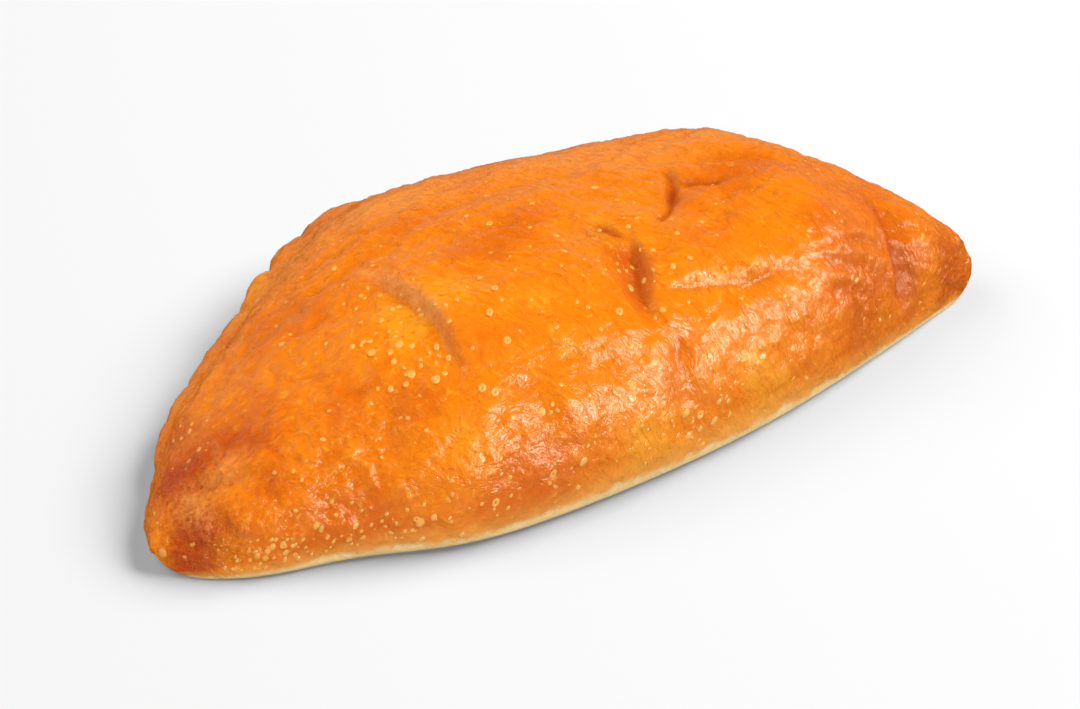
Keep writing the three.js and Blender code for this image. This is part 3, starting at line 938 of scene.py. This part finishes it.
def blisterTree(draw, given):
    seed = given.of("Seed")

    def bodyOf(label):
        return draw.node("GeometryNodeObjectInfo", {}, {"Object": given.of(label)}, "Geometry")

    def chance(low, high, offset):
        return draw.node("FunctionNodeRandomValue", {"data_type": "FLOAT"},
                         {2: low, 3: high, "Seed": seed + offset}, 1)

    def store(geometry, name, value, domain="POINT"):
        return draw.node("GeometryNodeStoreNamedAttribute", {"data_type": "FLOAT", "domain": domain},
                         {"Geometry": geometry, "Name": name, "Value": value})

    def onCrust(value, kind="FLOAT"):
        return draw.node("GeometryNodeSampleNearestSurface", {"data_type": kind},
                         {"Mesh": ground, "Value": value})

    ground = bodyOf("Crust")
    densest = given.of("Most per square mm") / mm / mm
    scattered = draw.node("GeometryNodeDistributePointsOnFaces", {"distribute_method": "POISSON"},
                          {"Mesh": ground, "Distance Min": given.of("Spacing") * mm, "Density Max": densest,
                           "Density Factor": namedAttribute(draw, "blistering"), "Seed": seed})
    share = chance(0.0, 1.0, 1)
    scattered = store(scattered, "blisterRadius", given.of("Smallest") + share * share *
                      (given.of("Largest") - given.of("Smallest")))
    scattered = store(scattered, "ring", chance(0.0, given.of("Ring chance"), 2))
    placed = draw.node("GeometryNodeMeshToPoints", {}, {"Mesh": given.of("Geometry")})
    points = draw.node("GeometryNodeJoinGeometry", {}, {"Geometry": [scattered, placed]})

    normal = onCrust(draw.node("GeometryNodeInputNormal"), "FLOAT_VECTOR")
    here = onCrust(draw.node("GeometryNodeInputPosition"), "FLOAT_VECTOR")
    points = draw.node("GeometryNodeSetPosition", {}, {"Geometry": points, "Position": here})
    upright = draw.node("FunctionNodeAlignRotationToVector", {"axis": "Z"}, {"Vector": normal})
    radius = namedAttribute(draw, "blisterRadius") * mm
    radius = radius * chance(given.of("Size low"), given.of("Size high"), 3)
    longer = chance(given.of("Stretch low"), given.of("Stretch high"), 4)
    size = draw.node("ShaderNodeCombineXYZ", {}, {"X": radius * longer, "Y": radius / longer,
                                                  "Z": radius * given.of("Plumpness")})
    # The join counts its links from the last, so the dome is 0 and the ring 1
    shapes = [draw.node("GeometryNodeGeometryToInstance", {}, {"Geometry": bodyOf(label)})
              for label in ("Ring", "Dome")]
    kinds = draw.node("GeometryNodeJoinGeometry", {}, {"Geometry": shapes})
    isRing = draw.math("ROUND", namedAttribute(draw, "ring"), 0)
    spread = draw.node("GeometryNodeInstanceOnPoints", {},
                       {"Points": points, "Instance": kinds, "Pick Instance": True,
                        "Instance Index": isRing, "Rotation": upright, "Scale": size})
    turn = draw.node("ShaderNodeCombineXYZ", {}, {"Z": chance(0.0, 2 * math.pi, 5)})
    spread = draw.node("GeometryNodeRotateInstances", {}, {"Instances": spread, "Rotation": turn})
    for name in carriedNames:
        spread = store(spread, name, onCrust(namedAttribute(draw, name)), "INSTANCE")
    return spread


dome = turnedBlister("dome", domeProfile)
ring = turnedBlister("ring", ringProfile)
blisterInputs = dict(blisterSizes, Crust=crust, Dome=dome, Ring=ring, Material=crustPaint)
blisters = grown("blisters", placedPoints(), blisterTree, blisterInputs)
for button in (dome, ring):
    bpy.data.objects.remove(button)
for piece in (crust, blisters):
    piece.visible_diffuse = False  # throws no orange light on the table
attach(blisters, "root")
print("blisters:", len(blisters.data.polygons), "faces")

studio = {
    "floorSize": 6.0,
    "floor": colour(246, 246, 246),
    "floorRoughness": 0.9,
    "floorShine": 0.1,
    "ambient": 0.2,
    "ceilingGlow": 0.01,  # what gloss sees overhead and below
    "horizonGlow": 0.7,  # and low down behind the food
    "glowBack": (-0.1, 0.5),  # the glow grows from the front to the back,
    "glowFoot": (-0.08, 0.0),  # starts at the horizon
    "glowTop": (0.06, 0.3),  # and ends a little above it
}

# Softboxes: azimuth and elevation, distance and size in metres, and what they light: the floor, the food,
# or the food's gloss alone
lamps = {
    "wall": {"from": (76, 46), "distance": 2.6, "size": (2.2, 1.8), "power": 71, "on": "floor"},
    "fill": {"from": (240, 50), "distance": 2.6, "size": (2.6, 2), "power": 20, "on": "floor"},
    "over": {"from": (0, 85), "distance": 1.2, "size": (1.4, 1.2), "power": 7, "on": "food"},
    "left": {"from": (-85, 35), "distance": 1.4, "size": (1, 0.8), "power": 5, "on": "food"},
    "back": {"from": (180, 40), "distance": 1.4, "size": (1, 0.8), "power": 4.6, "on": "food"},
    "right": {"from": (90, 40), "distance": 1.4, "size": (1, 0.8), "power": 7.6, "on": "food"},
    "front": {"from": (14, 30), "distance": 1.4, "size": (1.2, 0.7), "power": 8.4, "on": "food"},
    "key": {"from": (32, 26), "distance": 1, "size": (0.52, 0.26), "power": 12, "on": "gloss",
            "tint": (1, 0.96, 0.74)},
    "rim": {"from": (225, 42), "distance": 1, "size": (0.5, 0.34), "power": 0.7, "on": "gloss"},
}


def addFloor():
    half = studio["floorSize"] / 2
    mesh = bpy.data.meshes.new("floor")
    corners = [(-half, -half, 0), (half, -half, 0), (half, half, 0), (-half, half, 0)]
    mesh.from_pydata(corners, [], [(0, 1, 2, 3)])
    floor = addObject("floor", mesh)
    material, draw = newMaterial("floor")
    inputs = {"Base Color": studio["floor"], "Roughness": studio["floorRoughness"],
              "Specular IOR Level": studio["floorShine"]}
    finishMaterial(draw, inputs)
    mesh.materials.append(material)
    floor.visible_glossy = False
    return floor


def addLight(name, lamp, reach):
    data = bpy.data.lights.new(name, "AREA")
    data.shape = "ELLIPSE"
    data.size, data.size_y = lamp["size"]
    data.energy = lamp["power"]
    data.color = lamp.get("tint", (1, 1, 1))
    data.cycles.use_multiple_importance_sampling = False
    back = directionFrom(*lamp["from"])
    light = addLooking(name, data, back)
    light.location = back * lamp["distance"]
    light.visible_diffuse = lamp["on"] != "gloss"
    light.visible_glossy = lamp["on"] == "gloss"
    light.light_linking.receiver_collection = reach


def addReach(name, floor, state):
    # What a lamp falls on: INCLUDE for the floor alone, EXCLUDE for everything else
    reach = bpy.data.collections.new(name)
    reach.objects.link(floor)
    reach.collection_objects[0].light_linking.link_state = state
    return reach


def addWorld():
    # White to the camera. Gloss sees a dark room with a glow low behind the food.
    world = bpy.data.worlds.new("studio")
    world.use_nodes = True
    world.node_tree.nodes.clear()
    draw = Sketch(world.node_tree)
    ray = draw.node("ShaderNodeLightPath")
    glossy = ray.of("Is Glossy Ray")
    towards = draw.node("ShaderNodeSeparateXYZ", {}, {"Vector": draw.node("ShaderNodeTexCoord")})
    back, height = towards.of(1), towards.of(2)
    glow = back.rising(*studio["glowBack"]) * height.rising(*studio["glowFoot"])
    glow = glow * (1 - height.rising(*studio["glowTop"]))
    glow = studio["ceilingGlow"] + glow * (studio["horizonGlow"] - studio["ceilingGlow"])
    strength = (studio["ambient"] * (1 - glossy) + glow * glossy) * (1 - ray) + ray
    shown = draw.node("ShaderNodeBackground", {}, {"Color": (1, 1, 1, 1), "Strength": strength})
    draw.node("ShaderNodeOutputWorld", {}, {"Surface": shown})
    bpy.context.scene.world = world


floor = addFloor()
floorReach = addReach("floorReach", floor, "INCLUDE")
foodReach = addReach("foodReach", floor, "EXCLUDE")
for name, lamp in lamps.items():
    addLight(name, lamp, floorReach if lamp["on"] == "floor" else foodReach)
addWorld()
bpy.context.scene.view_settings.view_transform = "Standard"
print("studio set")
